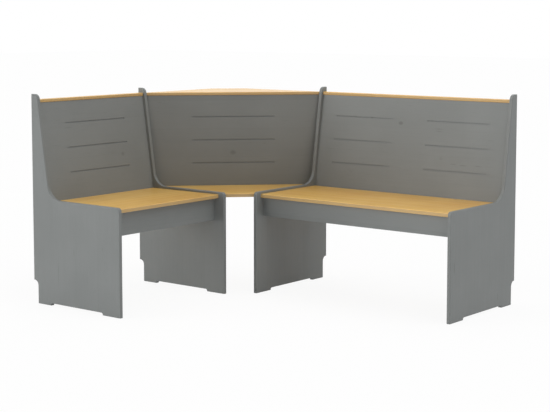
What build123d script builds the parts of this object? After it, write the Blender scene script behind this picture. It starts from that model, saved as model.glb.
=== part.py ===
from build123d import *
from dataclasses import dataclass
from math import cos, radians, sin, sqrt, tan
import os

os.makedirs("parts", exist_ok=True)

# A corner bench in three sections: a short bench, a long bench and a corner between them.
# X runs along the long bench, Y points to the wall behind it, Z is up and the floor is at zero.
# Lengths are in millimetres and angles in degrees.

# Overall sizes
long_run = 1600.0  # back plane of the short bench to the outer end of the long one
short_run = 1250.0  # back plane of the long bench to the outer end of the short one
corner_leg = 596.0  # back plane of either bench to the near face of its inner side

# Side panels: four of one outline
side_height = 885.0
side_depth = 512.0
side_thickness = 16.0
side_edge_ease = 2.0  # chamfer on both faces, from the feet up
seat_edge_height = 446.0
recline = 8.5
top_edge_depth = 36.0  # depth at the very top, before the corner is rounded
bend_radius = 70.0  # where the seat edge sweeps up into the leaning edge
front_corner_radius = 15.0
top_corner_radius = 24.0
notch_depth = 25.0  # room for a skirting board
notch_height = 98.0
notch_radius = 22.0
front_foot = 100.0
back_foot = 80.0
foot_lift = 10.0
arch_radius = 8.0

# Seats and aprons
seat_thickness = 16.0
seat_drop = 10.0  # seat top below the sides' seat edge
seat_setback = 30.0  # seat front behind the sides' front edge
seat_nose_radius = 3.0
seat_back_gap = 1.0
end_gap = 0.5  # at each end of a seat, a cap or the shelf
apron_thickness = 16.0
apron_setback = 24.0  # apron face behind the seat front
apron_edge_radius = 2.0
short_apron_height = 98.0
long_apron_height = 84.0

# Backrests
back_thickness = 16.0
back_inset = 13.0  # backrest face behind the sides' leaning edge
groove_width = 5.0
groove_depth = 3.0
groove_rows = 3
groove_pitch = 105.5
groove_first = 94.0  # top edge of a straight backrest to its first groove
short_groove_length = 355.0
long_groove_length = 310.0
long_groove_spacing = 488.0  # between the middles of the two sets of grooves

# Caps on the straight backrests
cap_thickness = 13.0
cap_drop = 22.0  # cap top below the sides' tops
cap_overhang = 3.0
cap_wall_gap = 2.0
cap_nose_radius = 3.0

# Corner section
corner_back_depth = 27.0  # where the corner backrest's face meets the inner sides
corner_seat_setback = 48.0  # where the corner seat's front meets them, behind their front edges
corner_groove_length = 380.0
corner_groove_first = 98.5
shelf_wall_gap = 26.0
shelf_corner_cut = 120.0  # room corner to the shelf's cut-off corner

# Hidden battens
bearer_depth = 60.0
bearer_height = 30.0
cleat_size = 20.0
back_cleat_length = 270.0
back_cleat_rise = 40.0  # above the seat
corner_cleat_length = 340.0
corner_cleat_setback = 40.0  # behind the corner seat's front
batten_width = 40.0
batten_spacing = 460.0

# Dowels and screws, kept eight-sided because there are many and none shows from the front
peg_sides = 8
fit_clearance = 0.1
tip_clearance = 0.5
dowel_diameter = 8.0
dowel_length = 32.0
dowel_in_side = 10.0
apron_dowel_spacing = 40.0
bearer_dowel_spacing = 30.0
cap_dowel_diameter = 6.0
cap_dowel_length = 24.0
cap_dowel_in_cap = 8.0
cap_dowel_inset = 150.0
shelf_dowel_spacing = 300.0
screw_diameter = 4.0
screw_head_diameter = 8.0
screw_head_angle = 90.0
screw_bite = 10.0
cleat_screw_inset = 30.0
back_screw_inset = 60.0
corner_cleat_screw_inset = 110.0
corner_end_screw_inset = 70.0
corner_foot_screw_spacing = 400.0
batten_screw_inset = 80.0

# Heights, depths and lines worked out from the sizes above
up = Vector(0, 0, 1)
room_corner = Vector(-long_run / 2, short_run / 2, 0)
lean = tan(radians(recline))
seat_top = seat_edge_height - seat_drop
seat_under = seat_top - seat_thickness
seat_front = side_depth - seat_setback
apron_face = seat_front - apron_setback
apron_back = apron_face - apron_thickness
cap_top = side_height - cap_drop
cap_under = cap_top - cap_thickness
bay_start = corner_leg + side_thickness
cleat_under = seat_under - cleat_size
cleat_level = seat_under - cleat_size / 2
back_cleat_foot = seat_top + back_cleat_rise
corner_cleat_front = side_depth - corner_seat_setback - corner_cleat_setback
corner_cleat_back = corner_cleat_front - corner_cleat_length
screw_length = cleat_size + screw_bite
screw_head_height = (screw_head_diameter - screw_diameter) / 2 / tan(radians(screw_head_angle / 2))


def edge_depth(height: float) -> float:
    """Depth of the sides' leaning edge at a height."""
    return top_edge_depth + (side_height - height) * lean


def face_depth(height: float) -> float:
    """Depth of a straight backrest's face at a height."""
    return edge_depth(height) - back_inset


def rear_depth(height: float) -> float:
    """Depth of a straight backrest's rear face at a height."""
    return face_depth(height) - back_thickness / cos(radians(recline))


bearer_back = rear_depth(seat_under)
bearer_front = bearer_back + bearer_depth


@dataclass(frozen=True)
class Bench:
    """One straight bench: the ways that its depth and its run point, and its own sizes."""

    name: str
    deep: Vector
    along: Vector
    run: float
    apron_height: float
    groove_length: float
    groove_middles: tuple

    @property
    def bay_end(self) -> float:
        """Run at which the bay between the two sides ends."""
        return self.run - side_thickness

    @property
    def ends(self) -> tuple:
        """Bay face of each side, as its run and the way that it faces."""
        return ((bay_start, self.along), (self.bay_end, -self.along))

    @property
    def face_normal(self) -> Vector:
        """Way that the leaning backrest faces."""
        return self.deep * cos(radians(recline)) + up * sin(radians(recline))

    @property
    def slope(self) -> Vector:
        """Way up the leaning backrest."""
        return up * cos(radians(recline)) - self.deep * sin(radians(recline))

    def point(self, depth: float, run: float, height: float) -> Vector:
        """Place at a depth from the back plane, a run from the room corner and a height."""
        return room_corner + self.deep * depth + self.along * run + up * height

    def behind(self, run: float, rise: float, distance: float) -> Vector:
        """Place behind the backrest, a rise up its slope from the foot of the back cleats."""
        foot = self.point(rear_depth(back_cleat_foot), run, back_cleat_foot)
        return foot + self.slope * rise - self.face_normal * distance

    def section(self, start: float, end: float) -> Plane:
        """Plane of depth and height from which an extrusion fills the run from start to end."""
        normal = self.deep.cross(up)
        foot = start if normal.dot(self.along) > 0 else end
        return Plane(origin=self.point(0, foot, 0), x_dir=self.deep, z_dir=normal)

    def cleat_runs(self) -> tuple:
        """Start and end of the run that each of the two end cleats takes up."""
        return ((bay_start, bay_start + cleat_size), (self.bay_end - cleat_size, self.bay_end))

    def frame_dowels(self) -> list:
        """Joints of the apron and the rear bearer with the sides."""
        apron_middle = seat_under - self.apron_height / 2
        bearer_middle = bearer_back + bearer_depth / 2
        bearer_level = seat_under - bearer_height / 2
        places = []
        for run, facing in self.ends:
            for side in (-1, 1):
                level = apron_middle + side * apron_dowel_spacing / 2
                depth = bearer_middle + side * bearer_dowel_spacing / 2
                places.append(Plane(self.point(apron_face - apron_thickness / 2, run, level), z_dir=facing))
                places.append(Plane(self.point(depth, run, bearer_level), z_dir=facing))
        return places

    def cap_dowels(self) -> list:
        """Joints of the backrest's top edge with its cap."""
        depth = (face_depth(cap_under) + rear_depth(cap_under)) / 2
        runs = (bay_start + cap_dowel_inset, self.bay_end - cap_dowel_inset)
        return [Plane(self.point(depth, run, cap_under), z_dir=-up) for run in runs]

    def seat_cleat_screws(self) -> list:
        """Heads of the screws that hold the seat cleats on the sides."""
        depths = (bearer_front + cleat_screw_inset, apron_back - cleat_screw_inset)
        return [
            Plane(self.point(depth, run, cleat_level) + facing * cleat_size, z_dir=facing)
            for run, facing in self.ends
            for depth in depths
        ]

    def seat_screws(self) -> list:
        """Heads of the screws that go up through the seat cleats into the seat."""
        depth = (bearer_front + apron_back) / 2
        return [
            Plane(self.point(depth, run, cleat_under) + facing * (cleat_size / 2), z_dir=-up)
            for run, facing in self.ends
        ]

    def back_cleat_screws(self) -> list:
        """Heads of the screws that hold the back cleats on the sides."""
        rises = (cleat_screw_inset, back_cleat_length - cleat_screw_inset)
        return [
            Plane(self.behind(run, rise, cleat_size / 2) + facing * cleat_size, z_dir=facing)
            for run, facing in self.ends
            for rise in rises
        ]

    def back_screws(self) -> list:
        """Heads of the screws that go through the back cleats into the backrest."""
        rises = (back_screw_inset, back_cleat_length - back_screw_inset)
        return [
            Plane(self.behind(run, rise, cleat_size) + facing * (cleat_size / 2), z_dir=-self.face_normal)
            for run, facing in self.ends
            for rise in rises
        ]

    def corner_cleat_screws(self) -> list:
        """Heads of the screws that hold the corner seat's cleat on the inner side."""
        run = corner_leg - cleat_size
        depths = (
            corner_cleat_back + corner_cleat_screw_inset,
            corner_cleat_front - corner_cleat_screw_inset,
        )
        return [Plane(self.point(depth, run, cleat_level), z_dir=-self.along) for depth in depths]

    def corner_seat_screws(self) -> list:
        """Head of the screw that goes up through that cleat into the corner seat."""
        depth = (corner_cleat_back + corner_cleat_front) / 2
        return [Plane(self.point(depth, corner_leg - cleat_size / 2, cleat_under), z_dir=-up)]

    def corner_end_screws(self) -> list:
        """Heads of the screws that go through the inner side into the end of the corner backrest."""
        depth = corner_back_depth - back_thickness * sqrt(2) / 2
        levels = (seat_top + corner_end_screw_inset, cap_under - corner_end_screw_inset)
        return [Plane(self.point(depth, bay_start, level), z_dir=self.along) for level in levels]


short_bench = Bench(
    name="short",
    deep=Vector(1, 0, 0),
    along=Vector(0, -1, 0),
    run=short_run,
    apron_height=short_apron_height,
    groove_length=short_groove_length,
    groove_middles=(0.0,),
)
long_bench = Bench(
    name="long",
    deep=Vector(0, -1, 0),
    along=Vector(1, 0, 0),
    run=long_run,
    apron_height=long_apron_height,
    groove_length=long_groove_length,
    groove_middles=(-long_groove_spacing / 2, long_groove_spacing / 2),
)
benches = (short_bench, long_bench)

# Corner section: a line across the corner is named by the sum of its distances from the two back planes
diagonal = (long_bench.along - short_bench.along).normalized()
outward = (long_bench.along + short_bench.along).normalized()
corner_face_sum = corner_leg + corner_back_depth
corner_rear_sum = corner_face_sum - back_thickness * sqrt(2)
corner_middle_sum = (corner_face_sum + corner_rear_sum) / 2
corner_seat_sum = corner_leg + side_depth - corner_seat_setback
shelf_front_sum = corner_face_sum + cap_overhang * sqrt(2)
shelf_cut_sum = shelf_corner_cut * sqrt(2)


def across_corner(line_sum: float, offset: float, height: float) -> Vector:
    """Place on a line across the corner, at an offset from its middle."""
    return room_corner + outward * (line_sum / sqrt(2)) + diagonal * offset + up * height


def corner_pair(line_sum: float, spacing: float, height: float) -> list:
    """Two places on a line across the corner, spaced about its middle."""
    return [across_corner(line_sum, side * spacing / 2, height) for side in (-1, 1)]


shelf_dowels = [
    Plane(place, z_dir=-up) for place in corner_pair(corner_middle_sum, shelf_dowel_spacing, cap_under)
]
corner_foot_screws = [
    Plane(place, z_dir=-up)
    for place in corner_pair(corner_middle_sum, corner_foot_screw_spacing, seat_under)
]
batten_screws = [
    Plane(place - outward * cleat_size, z_dir=-outward)
    for level in (seat_under + batten_screw_inset, cap_under - batten_screw_inset)
    for place in corner_pair(corner_rear_sum, batten_spacing, level)
]
corner_cleat_screws = [place for bench in benches for place in bench.corner_cleat_screws()]
corner_seat_screws = [place for bench in benches for place in bench.corner_seat_screws()]
corner_end_screws = [place for bench in benches for place in bench.corner_end_screws()]


def dowel_shape(diameter: float, length: float, seated: float, clearance: float, tip: float) -> Part:
    """Dowel across a joint plane, or its hole where it is given a clearance."""
    with BuildPart() as dowel:
        with BuildSketch(Plane.XY.offset(-seated - tip)):
            RegularPolygon(diameter / 2 + clearance, peg_sides)
        extrude(amount=length + 2 * tip)
    return dowel.part


def screw_shape(clearance: float, tip: float) -> Part:
    """Countersunk screw below the plane of its head, or its hole where it is given a clearance."""
    with BuildPart() as screw:
        with BuildSketch(Plane.XY):
            RegularPolygon(screw_head_diameter / 2 + clearance, peg_sides)
        with BuildSketch(Plane.XY.offset(-screw_head_height)):
            RegularPolygon(screw_diameter / 2 + clearance, peg_sides)
        loft(ruled=True)
        with BuildSketch(Plane.XY.offset(-screw_length - tip)):
            RegularPolygon(screw_diameter / 2 + clearance, peg_sides)
        extrude(amount=screw_length + tip - screw_head_height)
    return screw.part


frame_dowel = dowel_shape(dowel_diameter, dowel_length, dowel_in_side, 0, 0)
frame_dowel_hole = dowel_shape(dowel_diameter, dowel_length, dowel_in_side, fit_clearance, tip_clearance)
cap_dowel = dowel_shape(cap_dowel_diameter, cap_dowel_length, cap_dowel_in_cap, 0, 0)
cap_dowel_hole = dowel_shape(
    cap_dowel_diameter, cap_dowel_length, cap_dowel_in_cap, fit_clearance, tip_clearance
)
screw = screw_shape(0, 0)
screw_hole = screw_shape(fit_clearance, tip_clearance)


def finish(piece: BuildPart, name: str) -> None:
    """Label a finished piece and write its file."""
    piece.part.label = name
    export_step(piece.part, f"parts/{name}.step")


def make_fasteners(fastener: Part, places: list, name: str) -> None:
    """Group of like dowels or screws."""
    with BuildPart() as group:
        with Locations(*places):
            add(fastener)
    finish(group, name)


def make_side(bench: Bench, start: float, screws: list, name: str) -> None:
    """Side panel: feet, skirting notch, seat edge, swept bend and leaning edge in one outline."""
    arch_back = notch_depth + back_foot
    arch_front = side_depth - front_foot
    corners = (
        ((notch_depth, 0), 0),
        ((arch_back, 0), 0),
        ((arch_back, foot_lift), arch_radius),
        ((arch_front, foot_lift), arch_radius),
        ((arch_front, 0), 0),
        ((side_depth, 0), 0),
        ((side_depth, seat_edge_height), front_corner_radius),
        ((edge_depth(seat_edge_height), seat_edge_height), bend_radius),
        ((top_edge_depth, side_height), top_corner_radius),
        ((0, side_height), 0),
        ((0, notch_height), 0),
        ((notch_depth, notch_height), notch_radius),
    )
    with BuildPart() as side:
        with BuildSketch(bench.section(start, start + side_thickness)):
            with BuildLine():
                FilletPolyline(
                    *[corner for corner, radius in corners],
                    radius=[radius for corner, radius in corners],
                    close=True,
                )
            make_face()
        extrude(amount=side_thickness)
        faces = side.faces().sort_by(Axis(room_corner, bench.along))
        rims = faces[0].edges() + faces[-1].edges()
        chamfer(rims.filter_by(lambda rim: rim.center().Z > foot_lift + side_edge_ease), side_edge_ease)
        with Locations(*bench.frame_dowels()):
            add(frame_dowel_hole, mode=Mode.SUBTRACT)
        with Locations(*screws):
            add(screw_hole, mode=Mode.SUBTRACT)
    finish(side, name)


def make_seat(bench: Bench) -> None:
    """Seat board: round nose in front, rear edge sloped to follow the backrest."""
    start = bay_start + end_gap
    end = bench.bay_end - end_gap
    with BuildPart() as seat:
        with BuildSketch(bench.section(start, end)):
            with BuildLine():
                FilletPolyline(
                    (face_depth(seat_under) + seat_back_gap, seat_under),
                    (seat_front, seat_under),
                    (seat_front, seat_top),
                    (face_depth(seat_top) + seat_back_gap, seat_top),
                    radius=[0, seat_nose_radius, seat_nose_radius, 0],
                    close=True,
                )
            make_face()
        extrude(amount=end - start)
        with Locations(*bench.seat_screws()):
            add(screw_hole, mode=Mode.SUBTRACT)
    finish(seat, f"{bench.name}_seat")


def make_apron(bench: Bench) -> None:
    """Apron on edge under the seat's front, between the sides."""
    bottom = seat_under - bench.apron_height
    with BuildPart() as apron:
        with BuildSketch(bench.section(bay_start, bench.bay_end)):
            with BuildLine():
                FilletPolyline(
                    (apron_back, bottom),
                    (apron_face, bottom),
                    (apron_face, seat_under),
                    (apron_back, seat_under),
                    radius=[apron_edge_radius, apron_edge_radius, 0, 0],
                    close=True,
                )
            make_face()
        extrude(amount=bench.bay_end - bay_start)
        with Locations(*bench.frame_dowels()):
            add(frame_dowel_hole, mode=Mode.SUBTRACT)
    finish(apron, f"{bench.name}_apron")


def make_rear_bearer(bench: Bench) -> None:
    """Batten between the sides that carries the seat's rear edge and the backrest's foot."""
    bottom = seat_under - bearer_height
    with BuildPart() as bearer:
        with BuildSketch(bench.section(bay_start, bench.bay_end)):
            with BuildLine():
                Polyline(
                    (bearer_back, bottom),
                    (bearer_front, bottom),
                    (bearer_front, seat_under),
                    (bearer_back, seat_under),
                    close=True,
                )
            make_face()
        extrude(amount=bench.bay_end - bay_start)
        with Locations(*bench.frame_dowels()):
            add(frame_dowel_hole, mode=Mode.SUBTRACT)
    finish(bearer, f"{bench.name}_rear_bearer")


def make_backrest(bench: Bench) -> None:
    """Leaning backrest board with stopped grooves in its face."""
    top_middle = bench.point(face_depth(cap_under), (bay_start + bench.bay_end) / 2, cap_under)
    face = Plane(top_middle, x_dir=bench.slope.cross(bench.face_normal), z_dir=bench.face_normal)
    rows = [-groove_first - row * groove_pitch for row in range(groove_rows)]
    with BuildPart() as backrest:
        with BuildSketch(bench.section(bay_start, bench.bay_end)):
            with BuildLine():
                Polyline(
                    (rear_depth(seat_under), seat_under),
                    (face_depth(seat_under), seat_under),
                    (face_depth(cap_under), cap_under),
                    (rear_depth(cap_under), cap_under),
                    close=True,
                )
            make_face()
        extrude(amount=bench.bay_end - bay_start)
        with BuildSketch(face):
            with Locations(*[(middle, row) for middle in bench.groove_middles for row in rows]):
                SlotOverall(bench.groove_length, groove_width)
        extrude(amount=-groove_depth, mode=Mode.SUBTRACT)
        with Locations(*bench.back_screws()):
            add(screw_hole, mode=Mode.SUBTRACT)
        with Locations(*bench.cap_dowels()):
            add(cap_dowel_hole, mode=Mode.SUBTRACT)
    finish(backrest, f"{bench.name}_backrest")


def make_cap_rail(bench: Bench) -> None:
    """Cap rail along the top of a straight backrest."""
    start = bay_start + end_gap
    end = bench.bay_end - end_gap
    front = face_depth(cap_under) + cap_overhang
    with BuildPart() as cap:
        with BuildSketch(bench.section(start, end)):
            with BuildLine():
                FilletPolyline(
                    (cap_wall_gap, cap_under),
                    (front, cap_under),
                    (front, cap_top),
                    (cap_wall_gap, cap_top),
                    radius=[0, cap_nose_radius, cap_nose_radius, 0],
                    close=True,
                )
            make_face()
        extrude(amount=end - start)
        with Locations(*bench.cap_dowels()):
            add(cap_dowel_hole, mode=Mode.SUBTRACT)
    finish(cap, f"{bench.name}_cap_rail")


def make_seat_cleats(bench: Bench) -> None:
    """Cleats on the two sides under the ends of a seat."""
    with BuildPart() as cleats:
        for start, end in bench.cleat_runs():
            with BuildSketch(bench.section(start, end)):
                with BuildLine():
                    Polyline(
                        (bearer_front, cleat_under),
                        (apron_back, cleat_under),
                        (apron_back, seat_under),
                        (bearer_front, seat_under),
                        close=True,
                    )
                make_face()
            extrude(amount=cleat_size)
        with Locations(*bench.seat_cleat_screws(), *bench.seat_screws()):
            add(screw_hole, mode=Mode.SUBTRACT)
    finish(cleats, f"{bench.name}_seat_cleats")


def make_back_cleats(bench: Bench) -> None:
    """Cleats on the two sides behind the ends of a leaning backrest, square to its slope."""
    with BuildPart() as cleats:
        for run, facing in bench.ends:
            foot = bench.behind(run, 0, 0)
            with BuildSketch(Plane(foot, x_dir=bench.slope, z_dir=facing)):
                middle = facing.cross(bench.slope).dot(-bench.face_normal) * cleat_size / 2
                with Locations((back_cleat_length / 2, middle)):
                    Rectangle(back_cleat_length, cleat_size)
            extrude(amount=cleat_size)
        with Locations(*bench.back_cleat_screws(), *bench.back_screws()):
            add(screw_hole, mode=Mode.SUBTRACT)
    finish(cleats, f"{bench.name}_back_cleats")


def make_corner_seat() -> None:
    """Corner seat between the inner sides: a short front edge and a long rear one across the corner."""
    leg = corner_leg - end_gap
    front = corner_seat_sum - leg
    rear = corner_rear_sum - leg
    with BuildPart() as seat:
        with BuildSketch(Plane(room_corner + up * seat_under)):
            with BuildLine():
                Polyline((front, -leg), (leg, -front), (leg, -rear), (rear, -leg), close=True)
            make_face()
        extrude(amount=seat_thickness)
        nose = seat.faces().sort_by(Axis(room_corner, outward))[-1]
        fillet(nose.edges().filter_by(Plane.XY), seat_nose_radius)
        with Locations(*corner_seat_screws, *corner_foot_screws):
            add(screw_hole, mode=Mode.SUBTRACT)
    finish(seat, "corner_seat")


def make_corner_backrest() -> None:
    """Upright corner backrest, its ends bevelled to lie flat on the inner sides."""
    leg = corner_leg
    front = corner_face_sum - leg
    rear = corner_rear_sum - leg
    face = Plane(across_corner(corner_face_sum, 0, cap_under), x_dir=diagonal, z_dir=outward)
    rows = [-corner_groove_first - row * groove_pitch for row in range(groove_rows)]
    with BuildPart() as backrest:
        with BuildSketch(Plane(room_corner + up * seat_top)):
            with BuildLine():
                Polyline((front, -leg), (leg, -front), (leg, -rear), (rear, -leg), close=True)
            make_face()
        extrude(amount=cap_under - seat_top)
        with BuildSketch(face):
            with Locations(*[(0, row) for row in rows]):
                SlotOverall(corner_groove_length, groove_width)
        extrude(amount=-groove_depth, mode=Mode.SUBTRACT)
        with Locations(*corner_end_screws, *corner_foot_screws, *batten_screws):
            add(screw_hole, mode=Mode.SUBTRACT)
        with Locations(*shelf_dowels):
            add(cap_dowel_hole, mode=Mode.SUBTRACT)
    finish(backrest, "corner_backrest")


def make_corner_shelf() -> None:
    """Three-sided shelf on the corner backrest, from side to side, with its inner corner cut off."""
    leg = corner_leg - end_gap
    front = shelf_front_sum - leg
    wall = shelf_wall_gap
    cut = shelf_cut_sum - wall
    with BuildPart() as shelf:
        with BuildSketch(Plane(room_corner + up * cap_under)):
            with BuildLine():
                Polyline(
                    (front, -leg),
                    (leg, -front),
                    (leg, -wall),
                    (cut, -wall),
                    (wall, -cut),
                    (wall, -leg),
                    close=True,
                )
            make_face()
        extrude(amount=cap_thickness)
        nose = shelf.faces().sort_by(Axis(room_corner, outward))[-1]
        fillet(nose.edges().filter_by(Plane.XY), cap_nose_radius)
        with Locations(*shelf_dowels):
            add(cap_dowel_hole, mode=Mode.SUBTRACT)
    finish(shelf, "corner_shelf")


def make_corner_seat_cleats() -> None:
    """Cleats on the two inner sides under the corner seat."""
    with BuildPart() as cleats:
        for bench in benches:
            with BuildSketch(bench.section(corner_leg - cleat_size, corner_leg)):
                with BuildLine():
                    Polyline(
                        (corner_cleat_back, cleat_under),
                        (corner_cleat_front, cleat_under),
                        (corner_cleat_front, seat_under),
                        (corner_cleat_back, seat_under),
                        close=True,
                    )
                make_face()
            extrude(amount=cleat_size)
        with Locations(*corner_cleat_screws, *corner_seat_screws):
            add(screw_hole, mode=Mode.SUBTRACT)
    finish(cleats, "corner_seat_cleats")


def make_corner_battens() -> None:
    """Upright battens behind the corner backrest that stiffen it and carry the shelf."""
    height = cap_under - seat_under
    rear_face = Plane(
        across_corner(corner_rear_sum, 0, seat_under + height / 2), x_dir=-diagonal, z_dir=-outward
    )
    with BuildPart() as battens:
        with BuildSketch(rear_face):
            with GridLocations(batten_spacing, 0, 2, 1):
                Rectangle(batten_width, height)
        extrude(amount=cleat_size)
        with Locations(*batten_screws):
            add(screw_hole, mode=Mode.SUBTRACT)
    finish(battens, "corner_back_battens")


for bench in benches:
    side_screws = bench.seat_cleat_screws() + bench.back_cleat_screws()
    inner_screws = side_screws + bench.corner_cleat_screws() + bench.corner_end_screws()
    make_side(bench, corner_leg, inner_screws, f"{bench.name}_inner_side")
    make_side(bench, bench.bay_end, side_screws, f"{bench.name}_outer_side")
    make_seat(bench)
    make_apron(bench)
    make_rear_bearer(bench)
    make_backrest(bench)
    make_cap_rail(bench)
    make_seat_cleats(bench)
    make_back_cleats(bench)
    make_fasteners(frame_dowel, bench.frame_dowels(), f"{bench.name}_frame_dowels")
    make_fasteners(screw, bench.seat_cleat_screws() + bench.seat_screws(), f"{bench.name}_seat_screws")
    make_fasteners(screw, bench.back_cleat_screws() + bench.back_screws(), f"{bench.name}_back_screws")

make_corner_seat()
make_corner_backrest()
make_corner_shelf()
make_corner_seat_cleats()
make_corner_battens()
make_fasteners(screw, corner_cleat_screws + corner_seat_screws, "corner_seat_screws")
make_fasteners(screw, corner_end_screws + corner_foot_screws + batten_screws, "corner_back_screws")
make_fasteners(cap_dowel, short_bench.cap_dowels() + long_bench.cap_dowels() + shelf_dowels, "cap_dowels")
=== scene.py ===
"""Looks of a painted corner bench with honey-coloured seats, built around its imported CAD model."""

import logging
import math
from dataclasses import dataclass
from enum import Enum
from typing import Iterable, Sequence

import bmesh
import bpy
import numpy as np
from mathutils import Matrix, Vector


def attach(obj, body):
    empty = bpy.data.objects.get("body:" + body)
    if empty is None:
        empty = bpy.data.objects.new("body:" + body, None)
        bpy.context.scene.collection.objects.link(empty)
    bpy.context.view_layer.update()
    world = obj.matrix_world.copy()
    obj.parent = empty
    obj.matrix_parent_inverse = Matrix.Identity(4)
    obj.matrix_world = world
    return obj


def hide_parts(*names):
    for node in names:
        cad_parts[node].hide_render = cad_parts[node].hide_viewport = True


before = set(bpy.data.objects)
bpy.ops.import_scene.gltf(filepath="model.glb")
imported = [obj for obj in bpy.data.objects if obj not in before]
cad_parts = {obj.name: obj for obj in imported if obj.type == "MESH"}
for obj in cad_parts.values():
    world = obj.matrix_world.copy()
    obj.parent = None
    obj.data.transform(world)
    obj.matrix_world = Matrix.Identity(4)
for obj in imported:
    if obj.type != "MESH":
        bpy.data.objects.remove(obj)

log = logging.getLogger("corner_bench")

Axis = tuple[float, float, float]
Plug = bpy.types.NodeSocket | float | Sequence[float]

DIAGONAL = math.sqrt(0.5)
SAME_PLACE = 1e-6


def linear(red: int, green: int, blue: int) -> tuple[float, float, float, float]:
    """Turns a colour as a screen shows it into Blender's linear one.

    Args:
        red: Red from 0 to 255.
        green: Green from 0 to 255.
        blue: Blue from 0 to 255.

    Returns:
        The linear colour with full alpha.
    """
    parts = []
    for part in (red, green, blue):
        share = part / 255
        # The numbers are the sRGB standard's own.
        parts.append(share / 12.92 if share <= 0.04045 else ((share + 0.055) / 1.055) ** 2.4)
    return (*parts, 1.0)


class Grain(Enum):
    """Way the grain of a board runs, with the axes along, across and through it."""

    UPRIGHT = ((0, 0, 1), (1, 1, 0), (1, -1, 0))
    LONG = ((1, 0, 0), (0, 1, 1), (0, 1, -1))
    SHORT = ((0, 1, 0), (1, 0, 1), (1, 0, -1))
    CORNER = ((DIAGONAL, DIAGONAL, 0), (DIAGONAL, -DIAGONAL, 1), (DIAGONAL, -DIAGONAL, -1))

    @property
    def axes(self) -> tuple[Axis, Axis, Axis]:
        """Axes along, across and through the board."""
        return self.value


@dataclass(frozen=True)
class Wiring:
    """Adds nodes to one node tree and joins their sockets."""

    tree: bpy.types.NodeTree

    def add(self, kind: str, inputs: dict[str | int, Plug] | None = None, **settings: object) -> bpy.types.Node:
        """Adds a node.

        Args:
            kind: Blender's name for the kind of node.
            inputs: A value or a socket for each named or numbered input.
            settings: Values for the node's own properties.

        Returns:
            The new node.
        """
        node = self.tree.nodes.new(kind)
        for name, value in settings.items():
            setattr(node, name, value)
        for name, value in (inputs or {}).items():
            self.plug(node.inputs[name], value)
        return node

    def plug(self, socket: bpy.types.NodeSocket, value: Plug) -> None:
        """Joins a socket to another one, or gives it a value.

        Args:
            socket: The input.
            value: The output that feeds it, or its value.
        """
        if isinstance(value, bpy.types.NodeSocket):
            self.tree.links.new(value, socket)
        else:
            socket.default_value = value

    def sum(self, operation: str, first: Plug, second: Plug = 0.0, third: Plug = 0.0) -> bpy.types.NodeSocket:
        """Works out a number.

        Args:
            operation: Blender's name for the sum.
            first: First number.
            second: Second number, where the sum has one.
            third: Third number, where the sum has one.

        Returns:
            The socket that holds the result.
        """
        return self.add("ShaderNodeMath", {0: first, 1: second, 2: third}, operation=operation).outputs[0]

    def vector(self, operation: str, first: Plug, second: Plug = (0, 0, 0)) -> bpy.types.Node:
        """Works out a vector or a number from two vectors.

        Args:
            operation: Blender's name for the sum.
            first: First vector.
            second: Second vector.

        Returns:
            The node, whose outputs are a vector and a number.
        """
        return self.add("ShaderNodeVectorMath", {0: first, 1: second}, operation=operation)

    def span(self, value: Plug, start: Plug, end: Plug, low: Plug = 0.0, high: Plug = 1.0) -> bpy.types.NodeSocket:
        """Maps a number smoothly from one span to another.

        Args:
            value: The number.
            start: Start of its span.
            end: End of its span.
            low: Result at the start.
            high: Result at the end.

        Returns:
            The socket that holds the result.
        """
        places = {"Value": value, "From Min": start, "From Max": end, "To Min": low, "To Max": high}
        return self.add("ShaderNodeMapRange", places, interpolation_type="SMOOTHSTEP").outputs[0]

    def blend(self, share: Plug, first: Plug, second: Plug) -> bpy.types.NodeSocket:
        """Blends two colours.

        Args:
            share: Share of the second colour.
            first: First colour.
            second: Second colour.

        Returns:
            The socket that holds the colour.
        """
        # Inputs 6 and 7 and output 2 of a mix node are its colours.
        return self.add("ShaderNodeMix", {0: share, 6: first, 7: second}, data_type="RGBA").outputs[2]


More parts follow.
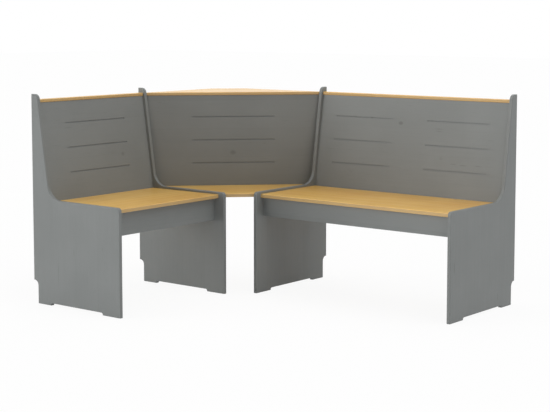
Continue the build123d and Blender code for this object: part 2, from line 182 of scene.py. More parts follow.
@dataclass(frozen=True)
class Timber:
    """Glued pine strips: their tones, seams, streaks, flecks, growth rings and knots, as a shared node group."""

    strip_width: float = 0.130
    seam_width: float = 0.0016
    strip_jump: float = 0.37
    streak_length: float = 0.45
    streak_width: float = 0.013
    streak_span: tuple[float, float] = (0.25, 0.75)
    fleck_length: float = 0.055
    fleck_width: float = 0.0045
    fleck_span: tuple[float, float] = (0.64, 0.80)
    ring_width: float = 0.030
    ring_span: tuple[float, float] = (-0.6, 1.0)
    ring_bend: float = 0.9
    ring_drift: float = 5.2
    drift_rate: Axis = (1.3, 7.0, 7.0)
    knot_pitch_along: float = 0.42
    knot_pitch_across: float = 0.20
    knot_radius: float = 0.0085
    knot_least: float = 0.5
    knot_core: float = 0.35
    knot_reach: float = 6.0
    knot_share: float = 0.36

    def group(self) -> bpy.types.NodeTree:
        """Builds the node group, or finds it when it is there already.

        Returns:
            The group, with the board's axes as inputs and values and masks as outputs.
        """
        found = bpy.data.node_groups.get("pine_timber")
        if found:
            return found
        tree = bpy.data.node_groups.new("pine_timber", "ShaderNodeTree")
        for name in ("Along", "Across", "Through"):
            tree.interface.new_socket(name, in_out="INPUT", socket_type="NodeSocketVector")
        for name in ("Tone", "Streaks", "Flecks", "Rings", "Knots", "Seams"):
            tree.interface.new_socket(name, in_out="OUTPUT", socket_type="NodeSocketFloat")
        wiring = Wiring(tree)
        axes = wiring.add("NodeGroupInput")
        ends = wiring.add("NodeGroupOutput")
        place = wiring.add("ShaderNodeTexCoord").outputs["Object"]
        along, across, through = (
            wiring.vector("DOT_PRODUCT", place, axes.outputs[name]).outputs[1]
            for name in ("Along", "Across", "Through")
        )
        strip = wiring.sum("DIVIDE", across, self.strip_width)
        self._strips(wiring, ends, strip)
        spot = self._knots(wiring, ends, along, across)
        self._rings(wiring, ends, along, across, through, spot, strip)
        return tree

    def _strips(self, wiring: Wiring, ends: bpy.types.Node, strip: bpy.types.NodeSocket) -> None:
        """Gives each glued strip its tone, and a seam on each side of it.

        Args:
            wiring: The group's wiring.
            ends: The group's output node.
            strip: Place across the board, counted in strips.
        """
        number = wiring.sum("FLOOR", strip)
        tone = wiring.add("ShaderNodeTexWhiteNoise", {"W": number}, noise_dimensions="1D").outputs["Value"]
        wiring.plug(ends.inputs["Tone"], tone)
        middle = wiring.sum("ABSOLUTE", wiring.sum("SUBTRACT", wiring.sum("FRACT", strip), 0.5))
        edge = 0.5 - self.seam_width / self.strip_width
        wiring.plug(ends.inputs["Seams"], wiring.span(middle, edge, 0.5))

    def _knots(
        self, wiring: Wiring, ends: bpy.types.Node, along: bpy.types.NodeSocket, across: bpy.types.NodeSocket
    ) -> bpy.types.NodeSocket:
        """Scatters small knots over the board.

        Args:
            wiring: The group's wiring.
            ends: The group's output node.
            along: Place along the board in metres.
            across: Place across the board in metres.

        Returns:
            Closeness to the nearest knot, from 0 to 1, for the grain that bends round it.
        """
        pitch = (self.knot_pitch_along, self.knot_pitch_across, 1.0)
        flat = wiring.add("ShaderNodeCombineXYZ", {0: along, 1: across}).outputs[0]
        cells = wiring.vector("DIVIDE", flat, pitch).outputs[0]
        knots = wiring.add("ShaderNodeTexVoronoi", {"Vector": cells, "Scale": 1.0}, voronoi_dimensions="2D")
        away = wiring.vector("SUBTRACT", cells, knots.outputs["Position"]).outputs[0]
        metres = wiring.vector("LENGTH", wiring.vector("MULTIPLY", away, pitch).outputs[0]).outputs[1]
        chance = wiring.add("ShaderNodeSeparateColor", {0: knots.outputs["Color"]})
        there = wiring.sum("LESS_THAN", chance.outputs[0], self.knot_share)
        radius = wiring.sum("MULTIPLY", wiring.sum("ADD", chance.outputs[1], self.knot_least), self.knot_radius)
        disc = wiring.span(metres, radius, wiring.sum("MULTIPLY", radius, self.knot_core))
        wiring.plug(ends.inputs["Knots"], wiring.sum("MULTIPLY", disc, there))
        return wiring.sum("MULTIPLY", wiring.span(metres, self.knot_reach * self.knot_radius, 0.0), there)

    def _rings(
        self,
        wiring: Wiring,
        ends: bpy.types.Node,
        along: bpy.types.NodeSocket,
        across: bpy.types.NodeSocket,
        through: bpy.types.NodeSocket,
        spot: bpy.types.NodeSocket,
        strip: bpy.types.NodeSocket,
    ) -> None:
        """Draws the streaks, the flecks and the growth rings, which differ by strip and bend round knots.

        Args:
            wiring: The group's wiring.
            ends: The group's output node.
            along: Place along the board in metres.
            across: Place across the board in metres.
            through: Place through the board in metres.
            spot: Closeness to the nearest knot.
            strip: Place across the board, counted in strips.
        """
        bent = wiring.sum("MULTIPLY_ADD", spot, self.ring_bend * self.ring_width, across)
        jump = wiring.sum("MULTIPLY", wiring.sum("FLOOR", strip), self.strip_jump)
        shifted = wiring.sum("ADD", along, jump)
        grid = wiring.add("ShaderNodeCombineXYZ", {0: shifted, 1: bent, 2: through}).outputs[0]
        fine = (1 / self.streak_length, 1 / self.streak_width, 1 / self.streak_width)
        lines = wiring.vector("MULTIPLY", grid, fine).outputs[0]
        streaks = wiring.add(
            "ShaderNodeTexNoise", {"Vector": lines, "Scale": 1.0, "Detail": 4.0, "Roughness": 0.6}
        )
        wiring.plug(ends.inputs["Streaks"], wiring.span(streaks.outputs[0], *self.streak_span))
        short = (1 / self.fleck_length, 1 / self.fleck_width, 1 / self.fleck_width)
        dashes = wiring.vector("MULTIPLY", grid, short).outputs[0]
        flecks = wiring.add("ShaderNodeTexNoise", {"Vector": dashes, "Scale": 1.0, "Detail": 1.0})
        wiring.plug(ends.inputs["Flecks"], wiring.span(flecks.outputs[0], *self.fleck_span))
        slow = wiring.vector("MULTIPLY", grid, self.drift_rate).outputs[0]
        drift = wiring.add("ShaderNodeTexNoise", {"Vector": slow, "Scale": 1.0, "Detail": 2.0}).outputs[0]
        turn = wiring.sum("MULTIPLY_ADD", drift, self.ring_drift, wiring.sum("DIVIDE", bent, self.ring_width))
        wave = wiring.sum("SINE", wiring.sum("MULTIPLY", turn, math.tau))
        wiring.plug(ends.inputs["Rings"], wiring.span(wave, *self.ring_span))


@dataclass(frozen=True)
class Mark:
    """A knot or a short dark line of the pine that shows through the paint."""

    place: Axis
    grain: Grain
    length: float
    width: float
    strength: float


@dataclass(frozen=True)
class PaintedMarks:
    """Knots and short lines at their places on the painted boards, as a shared node group."""

    marks: tuple[Mark, ...] = (
        Mark((0.250, 0.580, 0.741), Grain.LONG, 0.016, 0.011, 0.9),
        Mark((0.093, 0.586, 0.757), Grain.LONG, 0.008, 0.006, 0.8),
        Mark((0.450, 0.578, 0.725), Grain.LONG, 0.030, 0.0025, 0.6),
        Mark((0.452, 0.577, 0.714), Grain.LONG, 0.026, 0.0025, 0.6),
        Mark((0.534, 0.557, 0.580), Grain.LONG, 0.022, 0.003, 0.5),
        Mark((0.584, 0.556, 0.577), Grain.LONG, 0.026, 0.003, 0.5),
        Mark((0.658, 0.556, 0.579), Grain.LONG, 0.024, 0.003, 0.5),
        Mark((-0.490, 0.312, 0.587), Grain.CORNER, 0.018, 0.014, 0.7),
        Mark((-0.388, 0.414, 0.627), Grain.CORNER, 0.008, 0.003, 0.5),
        Mark((-0.725, 0.077, 0.819), Grain.CORNER, 0.014, 0.003, 0.4),
        Mark((-0.735, -0.153, 0.601), Grain.SHORT, 0.012, 0.012, 0.5),
        Mark((-0.755, -0.461, 0.736), Grain.SHORT, 0.030, 0.003, 0.4),
        Mark((-0.649, -0.625, 0.139), Grain.UPRIGHT, 0.075, 0.0025, 0.5),
        Mark((-0.553, -0.625, 0.237), Grain.UPRIGHT, 0.030, 0.0025, 0.5),
        Mark((-0.386, -0.625, 0.271), Grain.UPRIGHT, 0.012, 0.003, 0.4),
        Mark((0.800, 0.142, 0.220), Grain.UPRIGHT, 0.034, 0.004, 0.8),
        Mark((0.800, 0.486, 0.052), Grain.UPRIGHT, 0.026, 0.0035, 0.6),
    )
    raggedness: float = 0.004
    ragged_rate: float = 160.0
    core_share: float = 0.3

    def group(self) -> bpy.types.NodeTree:
        """Builds the node group, or finds it when it is there already.

        Returns:
            The group, with one mask as its output.
        """
        found = bpy.data.node_groups.get("painted_marks")
        if found:
            return found
        tree = bpy.data.node_groups.new("painted_marks", "ShaderNodeTree")
        tree.interface.new_socket("Marks", in_out="OUTPUT", socket_type="NodeSocketFloat")
        wiring = Wiring(tree)
        ends = wiring.add("NodeGroupOutput")
        place = wiring.add("ShaderNodeTexCoord").outputs["Object"]
        rough = wiring.add(
            "ShaderNodeTexNoise", {"Vector": place, "Scale": self.ragged_rate, "Detail": 2.0}
        ).outputs["Color"]
        stray = wiring.vector("SUBTRACT", rough, (0.5, 0.5, 0.5)).outputs[0]
        ragged = wiring.vector("MULTIPLY", stray, (self.raggedness,) * 3).outputs[0]
        place = wiring.vector("ADD", place, ragged).outputs[0]
        total: Plug = 0.0
        for mark in self.marks:
            total = wiring.sum("MAXIMUM", self._spot(wiring, place, mark), total)
        wiring.plug(ends.inputs["Marks"], total)
        return tree

    def _spot(self, wiring: Wiring, place: bpy.types.NodeSocket, mark: Mark) -> bpy.types.NodeSocket:
        """Draws one mark, stretched along its grain.

        Args:
            wiring: The group's wiring.
            place: Place on the board.
            mark: The mark.

        Returns:
            The socket that holds the mark's mask.
        """
        along = mark.grain.axes[0]
        away = wiring.vector("SUBTRACT", place, mark.place).outputs[0]
        lengthwise = wiring.vector("PROJECT", away, along).outputs[0]
        squeeze = (mark.width / mark.length - 1,) * 3
        squeezed = wiring.vector("MULTIPLY", lengthwise, squeeze).outputs[0]
        distance = wiring.vector("LENGTH", wiring.vector("ADD", away, squeezed).outputs[0]).outputs[1]
        return wiring.span(distance, mark.width, self.core_share * mark.width, 0.0, mark.strength)


@dataclass(frozen=True)
class EdgeWearAndShadeMask:
    """Mask along edges, in grooves and in inside corners, in patches, as a shared node group: it gives real wear
    on bare wood and steel, and painted shade on the grey paint and the varnished pine.
    """

    reach: float = 0.0035
    samples: int = 6
    agreement: tuple[float, float] = (0.995, 0.85)
    patch_rate: float = 38.0
    patch_span: tuple[float, float] = (0.35, 0.7)
    least_wear: float = 0.35

    def group(self) -> bpy.types.NodeTree:
        """Builds the node group, or finds it when it is there already.

        Returns:
            The group, with one mask as its output.
        """
        found = bpy.data.node_groups.get("edge_wear_and_shade_mask")
        if found:
            return found
        tree = bpy.data.node_groups.new("edge_wear_and_shade_mask", "ShaderNodeTree")
        tree.interface.new_socket("Wear", in_out="OUTPUT", socket_type="NodeSocketFloat")
        wiring = Wiring(tree)
        ends = wiring.add("NodeGroupOutput")
        rounded = wiring.add("ShaderNodeBevel", {"Radius": self.reach}, samples=self.samples).outputs[0]
        flat = wiring.add("ShaderNodeNewGeometry").outputs["True Normal"]
        agree = wiring.vector("DOT_PRODUCT", rounded, flat).outputs[1]
        edge = wiring.span(agree, *self.agreement)
        place = wiring.add("ShaderNodeTexCoord").outputs["Object"]
        noise = wiring.add("ShaderNodeTexNoise", {"Vector": place, "Scale": self.patch_rate, "Detail": 3.0})
        patches = wiring.span(noise.outputs[0], *self.patch_span, self.least_wear, 1.0)
        wiring.plug(ends.inputs["Wear"], wiring.sum("MULTIPLY", edge, patches))
        return tree


class Finish:
    """A finish that makes one material for each way of the grain."""

    slot: str

    def material(self, grain: Grain) -> bpy.types.Material:
        """Makes the material, or finds it when it is there already.

        Args:
            grain: Way the grain runs.

        Returns:
            The material.
        """
        name = f"{self.slot}_{grain.name.lower()}"
        made = bpy.data.materials.get(name)
        if made is None:
            made = bpy.data.materials.new(name)
            made.use_nodes = True
            made.node_tree.nodes.clear()
            self.paint(Wiring(made.node_tree), grain)
        return made

    def paint(self, wiring: Wiring, grain: Grain) -> None:
        """Fills the material's node tree.

        Args:
            wiring: The material's wiring.
            grain: Way the grain runs.
        """
        raise NotImplementedError

    @staticmethod
    def timber(wiring: Wiring, grain: Grain) -> bpy.types.Node:
        """Places the shared timber group in a material.

        Args:
            wiring: The material's wiring.
            grain: Way the grain runs.

        Returns:
            The group's node.
        """
        node = wiring.add("ShaderNodeGroup", node_tree=Timber().group())
        for name, axis in zip(("Along", "Across", "Through"), grain.axes):
            node.inputs[name].default_value = axis
        return node

    @staticmethod
    def noise(wiring: Wiring, rate: float, detail: float) -> bpy.types.NodeSocket:
        """Places an even noise in a material.

        Args:
            wiring: The material's wiring.
            rate: Waves of the noise in a metre.
            detail: Steps of finer noise on top of it.

        Returns:
            The socket that holds the noise, from 0 to 1.
        """
        place = wiring.add("ShaderNodeTexCoord").outputs["Object"]
        return wiring.add("ShaderNodeTexNoise", {"Vector": place, "Scale": rate, "Detail": detail}).outputs[0]

    @staticmethod
    def edges(wiring: Wiring) -> bpy.types.NodeSocket:
        """Places the shared edge mask group, which carries wear and painted shade, in a material.

        Args:
            wiring: The material's wiring.

        Returns:
            The socket that holds the edge mask.
        """
        return wiring.add("ShaderNodeGroup", node_tree=EdgeWearAndShadeMask().group()).outputs["Wear"]

    @staticmethod
    def surface(wiring: Wiring, height: Plug, depth: float, inputs: dict[str, Plug]) -> None:
        """Ends a material with its bump, shader and output.

        Args:
            wiring: The material's wiring.
            height: Height of the bump, from 0 to 1.
            depth: Height in metres that 1 stands for.
            inputs: Values and sockets for the shader's inputs.
        """
        bump = wiring.add("ShaderNodeBump", {"Strength": 1.0, "Distance": depth, "Height": height})
        shader = wiring.add("ShaderNodeBsdfPrincipled", {**inputs, "Normal": bump.outputs[0]})
        wiring.add("ShaderNodeOutputMaterial", {0: shader.outputs[0]})


@dataclass(frozen=True)
class GreyPaint(Finish):
    """Satin grey paint, through which the strips, the grain and the knots of the pine still show a little."""

    slot: str = "grey_paint"
    shade: tuple[int, int, int] = (122, 125, 124)
    deep: tuple[int, int, int] = (117, 120, 119)
    seam: tuple[int, int, int] = (106, 108, 107)
    knot: tuple[int, int, int] = (92, 94, 92)
    # Painted shade: darker paint along the edges, in the grooves and in inside corners.
    worn_and_shaded_edge: tuple[int, int, int] = (112, 114, 113)
    streak_share: float = 0.09
    ring_share: float = 0.06
    tone_share: float = 0.40
    cloud_share: float = 0.5
    cloud_rate: float = 4.5
    cloud_span: tuple[float, float] = (0.3, 0.7)
    figure_span: tuple[float, float] = (0.1, 1.0)
    seam_share: float = 0.22
    mark_share: float = 0.8
    knot_share: float = 0.8
    faint_share: float = 0.20
    wear_and_shade_share: float = 0.35
    film_rate: float = 420.0
    film_height: float = 0.3
    ring_height: float = 0.15
    streak_height: float = 0.08
    mark_depth: float = 0.8
    seam_depth: float = 0.6
    roughness: tuple[float, float] = (0.44, 0.50)
    shine: float = 0.42
    bump_depth: float = 0.00005

    def paint(self, wiring: Wiring, grain: Grain) -> None:
        """Fills the material's node tree.

        Args:
            wiring: The material's wiring.
            grain: Way the grain runs.
        """
        wood = self.timber(wiring, grain)
        streaks, rings, seams = (wood.outputs[name] for name in ("Streaks", "Rings", "Seams"))
        cloud = wiring.span(self.noise(wiring, self.cloud_rate, detail=3.0), *self.cloud_span)
        figure = wiring.sum("MULTIPLY", rings, self.ring_share)
        figure = wiring.sum("MULTIPLY_ADD", streaks, self.streak_share, figure)
        figure = wiring.sum("MULTIPLY_ADD", wood.outputs["Tone"], self.tone_share, figure)
        figure = wiring.sum("MULTIPLY_ADD", cloud, self.cloud_share, figure)
        colour = wiring.blend(wiring.span(figure, *self.figure_span), linear(*self.shade), linear(*self.deep))
        colour = wiring.blend(wiring.sum("MULTIPLY", seams, self.seam_share), colour, linear(*self.seam))
        placed = wiring.add("ShaderNodeGroup", node_tree=PaintedMarks().group()).outputs["Marks"]
        faint = wiring.sum("MULTIPLY_ADD", wood.outputs["Knots"], self.knot_share, wood.outputs["Flecks"])
        marks = wiring.sum("MULTIPLY", placed, self.mark_share)
        marks = wiring.sum("MULTIPLY_ADD", faint, self.faint_share, marks)
        colour = wiring.blend(wiring.sum("MINIMUM", marks, 1.0), colour, linear(*self.knot))
        # Painted shade: the paint is blended darker along its edges, in its grooves and in inside corners.
        shade_and_wear = wiring.sum("MULTIPLY", self.edges(wiring), self.wear_and_shade_share)
        colour = wiring.blend(shade_and_wear, colour, linear(*self.worn_and_shaded_edge))
        height = wiring.sum("MULTIPLY", streaks, self.streak_height)
        height = wiring.sum("MULTIPLY_ADD", rings, self.ring_height, height)
        film = self.noise(wiring, self.film_rate, detail=2.0)
        height = wiring.sum("MULTIPLY_ADD", film, self.film_height, height)
        sunk = wiring.sum("MULTIPLY", seams, self.seam_depth)
        sunk = wiring.sum("MULTIPLY_ADD", marks, self.mark_depth, sunk)
        self.surface(
            wiring,
            wiring.sum("SUBTRACT", height, sunk),
            self.bump_depth,
            {
                "Base Color": colour,
                "Roughness": wiring.span(streaks, 0.0, 1.0, *self.roughness),
                "Specular IOR Level": self.shine,
            },
        )


@dataclass(frozen=True)
class Pine(Finish):
    """Pine in its own colour, varnished or bare; the varnished kind is also painted darker on its upright faces
    and along its edges, as painted shade.
    """

    slot: str = "honey_wood"
    pale: tuple[int, int, int] = (228, 184, 98)
    warm: tuple[int, int, int] = (210, 160, 76)
    seam: tuple[int, int, int] = (158, 116, 62)
    knot: tuple[int, int, int] = (128, 84, 44)
    # Painted shade along the varnished pine's edges; bare wood sets a lighter colour here, for real wear.
    worn_and_shaded_edge: tuple[int, int, int] = (190, 146, 82)
    # Painted shade: colour of the varnished pine's upright faces, darker than its tops.
    edge: tuple[int, int, int] = (182, 152, 105)
    side_shade_share: float = 0.85
    side_shade_lean: tuple[float, float] = (0.8, 0.2)
    ring_share: float = 0.22
    streak_share: float = 0.30
    tone_share: float = 0.40
    cloud_share: float = 0.35
    cloud_rate: float = 5.0
    cloud_span: tuple[float, float] = (0.3, 0.7)
    figure_span: tuple[float, float] = (0.1, 1.15)
    seam_share: float = 0.30
    fleck_share: float = 0.25
    knot_share: float = 0.7
    wear_and_shade_share: float = 0.40
    ring_height: float = 0.4
    streak_height: float = 0.6
    seam_depth: float = 0.5
    roughness: tuple[float, float] = (0.30, 0.42)
    varnish: float = 0.35
    varnish_roughness: float = 0.22
    bump_depth: float = 0.00016

    def paint(self, wiring: Wiring, grain: Grain) -> None:
        """Fills the material's node tree.

        Args:
            wiring: The material's wiring.
            grain: Way the grain runs.
        """
        wood = self.timber(wiring, grain)
        streaks, rings, seams = (wood.outputs[name] for name in ("Streaks", "Rings", "Seams"))
        cloud = wiring.span(self.noise(wiring, self.cloud_rate, detail=3.0), *self.cloud_span)
        figure = wiring.sum("MULTIPLY", streaks, self.streak_share)
        figure = wiring.sum("MULTIPLY_ADD", rings, self.ring_share, figure)
        figure = wiring.sum("MULTIPLY_ADD", wood.outputs["Tone"], self.tone_share, figure)
        figure = wiring.sum("MULTIPLY_ADD", cloud, self.cloud_share, figure)
        colour = wiring.blend(wiring.span(figure, *self.figure_span), linear(*self.pale), linear(*self.warm))
        for mask, share, tint in (
            (seams, self.seam_share, self.seam),
            (wood.outputs["Flecks"], self.fleck_share, self.seam),
            (wood.outputs["Knots"], self.knot_share, self.knot),
        ):
            colour = wiring.blend(wiring.sum("MULTIPLY", mask, share), colour, linear(*tint))
        # Painted shade: faces that stand upright are blended towards a darker colour than the tops.
        if self.side_shade_share:
            normal = wiring.add("ShaderNodeNewGeometry").outputs["Normal"]
            facing = wiring.add("ShaderNodeSeparateXYZ", {0: normal})
            level = wiring.sum("ABSOLUTE", facing.outputs["Z"])
            upright = wiring.span(level, *self.side_shade_lean, 0.0, self.side_shade_share)
            colour = wiring.blend(upright, colour, linear(*self.edge))
        # Painted shade along the edges of the varnished pine, and real wear on bare wood.
        shade_and_wear = wiring.sum("MULTIPLY", self.edges(wiring), self.wear_and_shade_share)
        colour = wiring.blend(shade_and_wear, colour, linear(*self.worn_and_shaded_edge))
        height = wiring.sum("MULTIPLY", streaks, self.streak_height)
        height = wiring.sum("MULTIPLY_ADD", rings, self.ring_height, height)
        self.surface(
            wiring,
            wiring.sum("SUBTRACT", height, wiring.sum("MULTIPLY", seams, self.seam_depth)),
            self.bump_depth,
            {
                "Base Color": colour,
                "Roughness": wiring.span(streaks, 0.0, 1.0, *self.roughness),
                "Coat Weight": self.varnish,
                "Coat Roughness": self.varnish_roughness,
            },
        )


@dataclass(frozen=True)
class ScrewSteel(Finish):
    """Zinc-plated steel with a yellowish tint and faint turning marks."""

    slot: str = "screw_steel"
    bright: tuple[int, int, int] = (206, 200, 184)
    dull: tuple[int, int, int] = (168, 160, 140)
    spot_rate: float = 260.0
    spot_span: tuple[float, float] = (0.35, 0.65)
    mark_rate: float = 1900.0
    wear_and_shade_share: float = 0.4
    sheen_span: tuple[float, float] = (0.3, 0.7)
    roughness: tuple[float, float] = (0.28, 0.46)
    bump_depth: float = 0.00003

    def paint(self, wiring: Wiring, grain: Grain) -> None:
        """Fills the material's node tree.

        Args:
            wiring: The material's wiring.
            grain: Way the grain runs, which steel doesn't show.
        """
        spots = self.noise(wiring, self.spot_rate, detail=3.0)
        marks = self.noise(wiring, self.mark_rate, detail=2.0)
        colour = wiring.blend(wiring.span(spots, *self.spot_span), linear(*self.bright), linear(*self.dull))
        shade_and_wear = wiring.sum("MULTIPLY", self.edges(wiring), self.wear_and_shade_share)
        colour = wiring.blend(shade_and_wear, colour, linear(*self.bright))
        roughness = wiring.span(spots, *self.sheen_span, *self.roughness)
        self.surface(
            wiring, marks, self.bump_depth, {"Base Color": colour, "Roughness": roughness, "Metallic": 1.0}
        )


PAINT = GreyPaint()
HONEY = Pine()
BARE = Pine(
    slot="bare_wood",
    pale=(226, 200, 158),
    warm=(206, 172, 124),
    seam=(168, 132, 92),
    knot=(136, 94, 58),
    worn_and_shaded_edge=(230, 208, 170),
    side_shade_share=0.0,
    roughness=(0.62, 0.78),
    varnish=0.0,
    bump_depth=0.0003,
)
STEEL = ScrewSteel()


@dataclass
class Screws:
    """Countersunk wood screws with a cross recess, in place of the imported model's plain ones."""

    node: str
    sides: int = 24
    packed_sides: int = 8
    rim_share: float = 0.97
    rim_height: float = 0.0003
    core_share: float = 0.72
    tip_share: float = 0.5
    tip_zone: float = 0.002
    recess_reach: float = 0.62
    recess_width: float = 0.20
    recess_depth: float = 0.0022
    recess_floor: float = 0.6

    def build(self) -> None:
        """Builds all the screws of one node as one piece, which stands for the node."""
        shape = bmesh.new()
        islands = self._islands()
        for points in islands:
            self._screw(shape, points)
        bmesh.ops.recalc_face_normals(shape, faces=shape.faces)
        mesh = bpy.data.meshes.new(f"{self.node}_cut")
        shape.to_mesh(mesh)
        shape.free()
        piece = bpy.data.objects.new(f"{self.node}_cut", mesh)
        bpy.context.scene.collection.objects.link(piece)
        mesh.materials.append(STEEL.material(Grain.UPRIGHT))
        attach(piece, "root")
        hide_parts(self.node)
        log.info("%s: %d screws cut", self.node, len(islands))

    def _islands(self) -> list[np.ndarray]:
        """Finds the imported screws.

        Returns:
            The corners of each screw of the node, as rows of places.
        """
        shape = bmesh.new()
        shape.from_mesh(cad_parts[self.node].data)
        bmesh.ops.remove_doubles(shape, verts=shape.verts, dist=SAME_PLACE)
        left, islands = set(shape.verts), []
        while left:
            island, edge = [], [min(left, key=lambda corner: corner.index)]
            while edge:
                corner = edge.pop()
                if corner in left:
                    left.remove(corner)
                    island.append(corner)
                    edge.extend(link.other_vert(corner) for link in corner.link_edges)
            islands.append(np.array([tuple(corner.co) for corner in island]))
        shape.free()
        return islands

    def _screw(self, shape: bmesh.types.BMesh, points: np.ndarray) -> None:
        """Adds one round screw where a packed one is.

        Args:
            shape: The mesh that takes the screw.
            points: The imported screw's corners.
        """
        middle = points.mean(axis=0)
        axis = np.linalg.svd(points - middle)[2][0]
        reach = (points - middle) @ axis
        away = np.linalg.norm(points - middle - np.outer(reach, axis), axis=1)
        if reach[away.argmax()] > 0:
            axis, reach = -axis, -reach
        top, tip = reach.min(), reach.max()
        inscribed = math.cos(math.pi / self.packed_sides)
        head = away.max() * inscribed
        core = away[reach > tip - self.tip_zone].max() * inscribed
        turn = Vector((0, 0, 1)).rotation_difference(Vector(axis)).to_matrix().to_4x4()
        start = len(shape.verts)
        self._body(shape, head, core, tip - top)
        shape.verts.ensure_lookup_table()
        place = Matrix.Translation(Vector(middle + axis * top)) @ turn
        for corner in shape.verts[start:]:
            corner.co = place @ corner.co

    def _body(self, shape: bmesh.types.BMesh, head: float, core: float, length: float) -> None:
        """Turns the screw's body and cuts its recess, with the head at the origin and the tip along +Z.

        Args:
            shape: The mesh that takes the screw.
            head: Radius of the head.
            core: Radius of the shank.
            length: Length of the screw.
        """
        profile = (
            (head * self.rim_share, 0.0),
            (head, self.rim_height),
            (core, head - core + self.rim_height),
            (core, length * self.core_share),
            (core * self.tip_share, length - core),
        )
        rings = [
            [
                shape.verts.new((radius * math.cos(turn), radius * math.sin(turn), height))
                for turn in np.arange(self.sides) * math.tau / self.sides
            ]
            for radius, height in profile
        ]
        tip = shape.verts.new((0, 0, length))
        for upper, lower in zip(rings, rings[1:]):
            for index in range(self.sides):
                after = (index + 1) % self.sides
                face = shape.faces.new((upper[after], upper[index], lower[index], lower[after]))
                face.smooth = True
        for index in range(self.sides):
            shape.faces.new((rings[-1][(index + 1) % self.sides], rings[-1][index], tip))
        self._recess(shape, rings[0], head)

    def _recess(self, shape: bmesh.types.BMesh, rim: list[bmesh.types.BMVert], head: float) -> None:
        """Closes the head with a cross recess.

        Args:
            shape: The mesh that takes the screw.
            rim: Corners of the head's rim.
            head: Radius of the head.
        """
        far, near = head * self.recess_reach, head * self.recess_width
        cross = [
            (far, -near), (far, near), (near, near), (near, far), (-near, far), (-near, near),
            (-far, near), (-far, -near), (-near, -near), (-near, -far), (near, -far), (near, -near),
        ]
        lip = [shape.verts.new((x, y, 0.0)) for x, y in cross]
        inner = self.recess_floor
        floor = [shape.verts.new((x * inner, y * inner, self.recess_depth)) for x, y in cross]
        edges = [shape.edges.new((a, b)) for a, b in zip(lip, lip[1:] + lip[:1])]
        outer = [shape.edges.get((a, b)) for a, b in zip(rim, rim[1:] + rim[:1])]
        bmesh.ops.triangle_fill(shape, edges=edges + outer, use_beauty=True)
        for index in range(len(lip)):
            after = (index + 1) % len(lip)
            shape.faces.new((lip[index], lip[after], floor[after], floor[index]))
        shape.faces.new(floor)


class Boards:
    """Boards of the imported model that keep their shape, and get eased edges and a finish."""

    flat_angle: float = math.radians(0.1)
    sharp_angle: float = math.radians(35)
    round_steps: int = 3
    face_weight: int = 100

    @staticmethod
    def ease(name: str, radius: float) -> None:
        """Rounds the sharp edges of a board.

        Args:
            name: The board's node.
            radius: Width of the rounding in metres.
        """
        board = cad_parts[name]
        weld = board.modifiers.new("joined_faces", "WELD")
        weld.merge_threshold = SAME_PLACE
        flat = board.modifiers.new("whole_faces", "DECIMATE")
        flat.decimate_type = "DISSOLVE"
        flat.angle_limit = Boards.flat_angle
        eased = board.modifiers.new("eased_edges", "BEVEL")
        eased.width = radius
        eased.segments = Boards.round_steps
        eased.limit_method = "ANGLE"
        eased.angle_limit = Boards.sharp_angle
        shading = board.modifiers.new("soft_shading", "WEIGHTED_NORMAL")
        shading.weight = Boards.face_weight
        shading.keep_sharp = False

    @staticmethod
    def dress(names: Iterable[str], finish: Finish, grain: Grain, radius: float = 0.0) -> None:
        """Gives boards their finish and eases their edges.

        Args:
            names: The boards' nodes.
            finish: Their finish.
            grain: Way their grain runs.
            radius: Width of the rounding in metres, or 0 for sharp edges.
        """
        for name in names:
            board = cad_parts[name]
            board.data.materials[0] = finish.material(grain)
            if radius:
                Boards.ease(name, radius)
            log.info("%s: %s, grain %s", name, finish.slot, grain.name.lower())


@dataclass
class StraightBench:
    """One straight bench between two side panels."""

    name: str
    grain: Grain
    panel_ease: float = 0.0012
    seat_ease: float = 0.0020
    cap_ease: float = 0.0010
    board_ease: float = 0.0010
    cleat_ease: float = 0.0008

    def build(self) -> None:
        """Cuts the screws that hold the seat and the backrest."""
        for use in ("seat_screws", "back_screws"):
            Screws(f"{self.name}_{use}").build()

    def dress(self) -> None:
        """Gives every board of the bench its finish."""
        name = self.name
        Boards.dress((f"{name}_outer_side", f"{name}_inner_side"), PAINT, Grain.UPRIGHT, self.panel_ease)
        Boards.dress((f"{name}_backrest", f"{name}_apron"), PAINT, self.grain, self.board_ease)
        Boards.dress((f"{name}_seat",), HONEY, self.grain, self.seat_ease)
        Boards.dress((f"{name}_cap_rail",), HONEY, self.grain, self.cap_ease)
        Boards.dress((f"{name}_rear_bearer",), BARE, self.grain, self.cleat_ease)
        Boards.dress((f"{name}_seat_cleats",), BARE, self.across, self.cleat_ease)
        Boards.dress((f"{name}_back_cleats",), BARE, Grain.UPRIGHT, self.cleat_ease)
        Boards.dress((f"{name}_frame_dowels",), BARE, self.grain)

    @property
    def across(self) -> Grain:
        """Grain of a board that runs from the front of the bench to its back."""
        return Grain.SHORT if self.grain is Grain.LONG else Grain.LONG


@dataclass
class CornerSection:
    """Seat, backrest and shelf across the corner between the two benches."""

    seat_ease: float = 0.0020
    shelf_ease: float = 0.0016
    board_ease: float = 0.0010
    cleat_ease: float = 0.0008

    def build(self) -> None:
        """Cuts the screws that hold the seat and the backrest."""
        for use in ("seat_screws", "back_screws"):
            Screws(f"corner_{use}").build()

    def dress(self) -> None:
        """Gives every board of the section its finish."""
        Boards.dress(("corner_backrest",), PAINT, Grain.CORNER, self.board_ease)
        Boards.dress(("corner_seat",), HONEY, Grain.CORNER, self.seat_ease)
        Boards.dress(("corner_shelf",), HONEY, Grain.CORNER, self.shelf_ease)
        Boards.dress(("corner_seat_cleats",), BARE, Grain.LONG, self.cleat_ease)
        Boards.dress(("corner_back_battens",), BARE, Grain.UPRIGHT, self.cleat_ease)
        Boards.dress(("cap_dowels",), BARE, Grain.UPRIGHT)


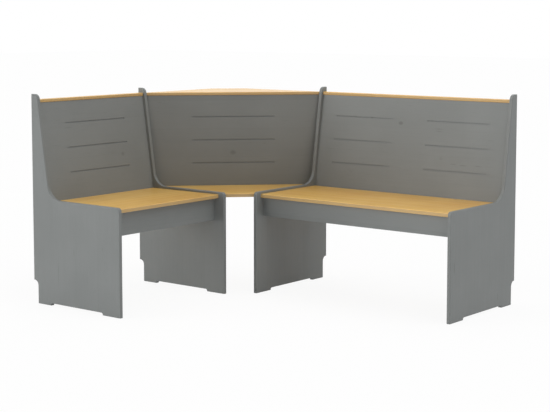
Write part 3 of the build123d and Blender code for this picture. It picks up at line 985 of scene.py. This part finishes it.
class Lamp(Enum):
    """Soft lamp of the studio, with the way that its light comes from and its level."""

    OVER_RIGHT = ((0.45, 0.0, 0.9), 1.23)
    OVER_BACK = ((-0.3, 0.3, 0.9), 0.80)
    LEFT_FRONT = ((-0.6, -0.8, 0.06), 1.80)
    LEFT_SIDE = ((-0.8, -0.6, 0.05), 1.32)
    RIGHT_BACK = ((0.9, 0.35, 0.3), 0.28)

    @property
    def way(self) -> Axis:
        """Way from the bench to the lamp."""
        return self.value[0]

    @property
    def level(self) -> float:
        """Level of the lamp's light."""
        return self.value[1]


@dataclass
class Studio:
    """White floor, soft light and the camera."""

    floor_reach: float = 30.0
    floor_squares: int = 12
    floor_shade: float = 0.80
    shadow_share: float = 0.08
    sky_level: float = 0.37
    lamp_softness: float = math.radians(50)
    lens: float = 92.1
    sensor: float = 36.0
    rise: float = -0.10
    eye: Axis = (3.679, -4.570, 1.221)
    heading: float = math.radians(128.78)
    tilt: float = math.radians(-5.59)

    def build(self) -> None:
        """Sets up the floor, the light and the camera."""
        self._floor()
        self._sky()
        for lamp in Lamp:
            self._hang(lamp)
        self._camera()
        bpy.context.scene.view_settings.view_transform = "Standard"

    @staticmethod
    def _seen(wiring: Wiring) -> bpy.types.NodeSocket:
        """Adds up the rays that see the background itself.

        Args:
            wiring: Wiring of the floor's or the sky's tree.

        Returns:
            1 for a camera, glossy or transmission ray, and 0 for the rest.
        """
        path = wiring.add("ShaderNodeLightPath")
        glossy = wiring.sum("MAXIMUM", path.outputs["Is Glossy Ray"], path.outputs["Is Transmission Ray"])
        return wiring.sum("MAXIMUM", path.outputs["Is Camera Ray"], glossy)

    def _floor(self) -> None:
        """Lays a plain white floor that keeps a faint shadow."""
        shape = bmesh.new()
        bmesh.ops.create_grid(
            shape, x_segments=self.floor_squares, y_segments=self.floor_squares, size=self.floor_reach
        )
        mesh = bpy.data.meshes.new("studio_floor")
        shape.to_mesh(mesh)
        shape.free()
        floor = bpy.data.objects.new("studio_floor", mesh)
        bpy.context.scene.collection.objects.link(floor)
        paper = bpy.data.materials.new("studio_paper")
        paper.use_nodes = True
        paper.node_tree.nodes.clear()
        wiring = Wiring(paper.node_tree)
        share = wiring.sum("MULTIPLY", self._seen(wiring), 1 - self.shadow_share)
        white = (self.floor_shade,) * 3 + (1.0,)
        matt = wiring.add("ShaderNodeBsdfDiffuse", {"Color": white})
        plain = wiring.add("ShaderNodeEmission", {"Color": (1, 1, 1, 1), "Strength": 1.0})
        both = wiring.add("ShaderNodeMixShader", {0: share, 1: matt.outputs[0], 2: plain.outputs[0]})
        wiring.add("ShaderNodeOutputMaterial", {0: both.outputs[0]})
        mesh.materials.append(paper)

    def _sky(self) -> None:
        """Surrounds the bench with even light, seen as white."""
        world = bpy.data.worlds.new("studio_sky")
        bpy.context.scene.world = world
        world.use_nodes = True
        world.node_tree.nodes.clear()
        wiring = Wiring(world.node_tree)
        light = wiring.add("ShaderNodeBackground", {"Color": (1, 1, 1, 1), "Strength": self.sky_level})
        white = wiring.add("ShaderNodeBackground", {"Color": (1, 1, 1, 1), "Strength": 1.0})
        both = wiring.add(
            "ShaderNodeMixShader", {0: self._seen(wiring), 1: light.outputs[0], 2: white.outputs[0]}
        )
        wiring.add("ShaderNodeOutputWorld", {0: both.outputs[0]})

    def _hang(self, lamp: Lamp) -> None:
        """Hangs a lamp.

        Args:
            lamp: The lamp.
        """
        name = f"{lamp.name.lower()}_lamp"
        light = bpy.data.lights.new(name, "SUN")
        light.energy = lamp.level
        light.angle = self.lamp_softness
        holder = bpy.data.objects.new(name, light)
        bpy.context.scene.collection.objects.link(holder)
        holder.rotation_euler = Vector(lamp.way).to_track_quat("Z", "Y").to_euler()
        # The varnish mirrors the white room, not the lamps.
        holder.visible_glossy = False

    def _camera(self) -> None:
        """Sets the camera where the photograph was taken from."""
        camera = bpy.data.cameras.new("photo_camera")
        camera.sensor_width = self.sensor
        camera.lens = self.lens
        camera.shift_y = self.rise
        holder = bpy.data.objects.new("photo_camera", camera)
        bpy.context.scene.collection.objects.link(holder)
        holder.location = self.eye
        ahead = Vector((
            math.cos(self.heading) * math.cos(self.tilt),
            math.sin(self.heading) * math.cos(self.tilt),
            math.sin(self.tilt),
        ))
        holder.rotation_euler = ahead.to_track_quat("-Z", "Y").to_euler()
        bpy.context.scene.camera = holder


def main() -> None:
    """Builds and dresses the bench and sets up the studio."""
    logging.basicConfig(level=logging.INFO, format="%(name)s %(message)s")
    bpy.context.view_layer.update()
    for part in (StraightBench("short", Grain.SHORT), StraightBench("long", Grain.LONG), CornerSection()):
        part.build()
        part.dress()
    Studio().build()


if __name__ == "__main__":
    main()
